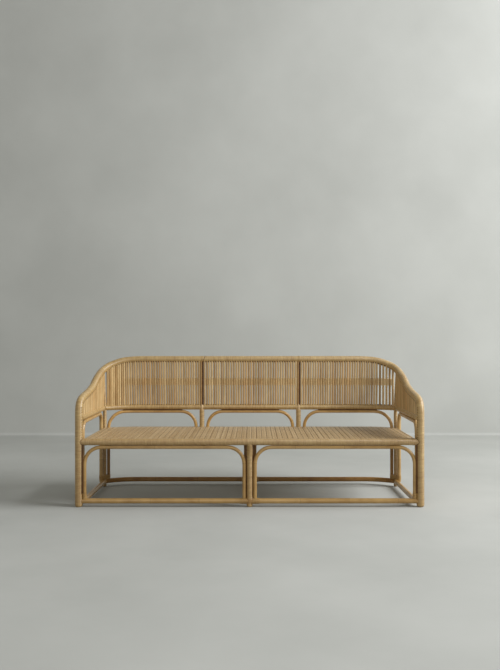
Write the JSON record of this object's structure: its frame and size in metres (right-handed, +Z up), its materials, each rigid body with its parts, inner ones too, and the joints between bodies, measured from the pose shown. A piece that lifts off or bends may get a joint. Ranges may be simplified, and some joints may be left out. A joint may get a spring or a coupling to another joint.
{
  "type": "rattan garden sofa",
  "caption": "Long garden sofa of bent rattan poles wrapped in peel, with a back and arms of upright sticks, arches above and below a woven seat deck.",
  "frame": {"origin": "on the floor, below the middle of the box round the sofa", "axes": "+X along the seat to the right of somebody who faces the sofa, +Y to the back, +Z up"},
  "size_m": [2.0052, 0.757, 0.845],
  "materials": {
    "wrapped_cane": "cane peel wound round the poles, clear satin varnish",
    "bent_cane": "bent cane poles, clear satin varnish",
    "stick_cane": "upright sticks of slim cane, clear satin varnish",
    "woven_cane": "woven mat of cane strands, matt",
    "hidden_cane": "plain cane poles, matt",
    "peel_cane": "wound bindings of cane peel, satin"
  },
  "bodies": {
    "root": {"arm_hoop_left": "wrapped_cane", "arm_hoop_right": "wrapped_cane", "back_arch_centre": "bent_cane", "back_arch_left": "bent_cane", "back_arch_right": "bent_cane", "back_divider_left": "bent_cane", "back_divider_right": "bent_cane", "back_panel_centre": "stick_cane", "back_panel_left": "stick_cane", "back_panel_right": "stick_cane", "collar_binding": "peel_cane", "corner_post_left": "wrapped_cane", "corner_post_right": "wrapped_cane", "front_arch_left": "bent_cane", "front_arch_right": "bent_cane", "front_centre_leg": "wrapped_cane", "front_corner_binding_left": "peel_cane", "front_corner_binding_right": "peel_cane", "front_foot_binding_left": "peel_cane", "front_foot_binding_right": "peel_cane", "front_stretcher_left": "bent_cane", "front_stretcher_right": "bent_cane", "lower_back_rail": "wrapped_cane", "lower_side_rail_left": "wrapped_cane", "lower_side_rail_right": "wrapped_cane", "rear_arch_left": "bent_cane", "rear_arch_right": "bent_cane", "rear_centre_leg": "wrapped_cane", "rear_corner_binding_left": "peel_cane", "rear_corner_binding_right": "peel_cane", "rear_foot_binding_left": "peel_cane", "rear_foot_binding_right": "peel_cane", "rear_stretcher_left": "bent_cane", "rear_stretcher_right": "bent_cane", "seat_bearer_1": "hidden_cane", "seat_bearer_2": "hidden_cane", "seat_bearer_3": "hidden_cane", "seat_bearer_4": "hidden_cane", "seat_bearer_5": "hidden_cane", "seat_deck": "woven_cane", "seat_front_roll": "wrapped_cane", "seat_rear_rail": "hidden_cane", "seat_side_rail_left": "hidden_cane", "seat_side_rail_right": "hidden_cane", "short_post_left": "wrapped_cane", "short_post_right": "wrapped_cane", "side_arch_left": "bent_cane", "side_arch_right": "bent_cane", "side_panel_left": "stick_cane", "side_panel_right": "stick_cane", "side_stretcher_left": "bent_cane", "side_stretcher_right": "bent_cane", "top_rail_centre": "wrapped_cane", "top_rail_dowel_left": "hidden_cane", "top_rail_dowel_right": "hidden_cane"}
  },
  "joints": []
}
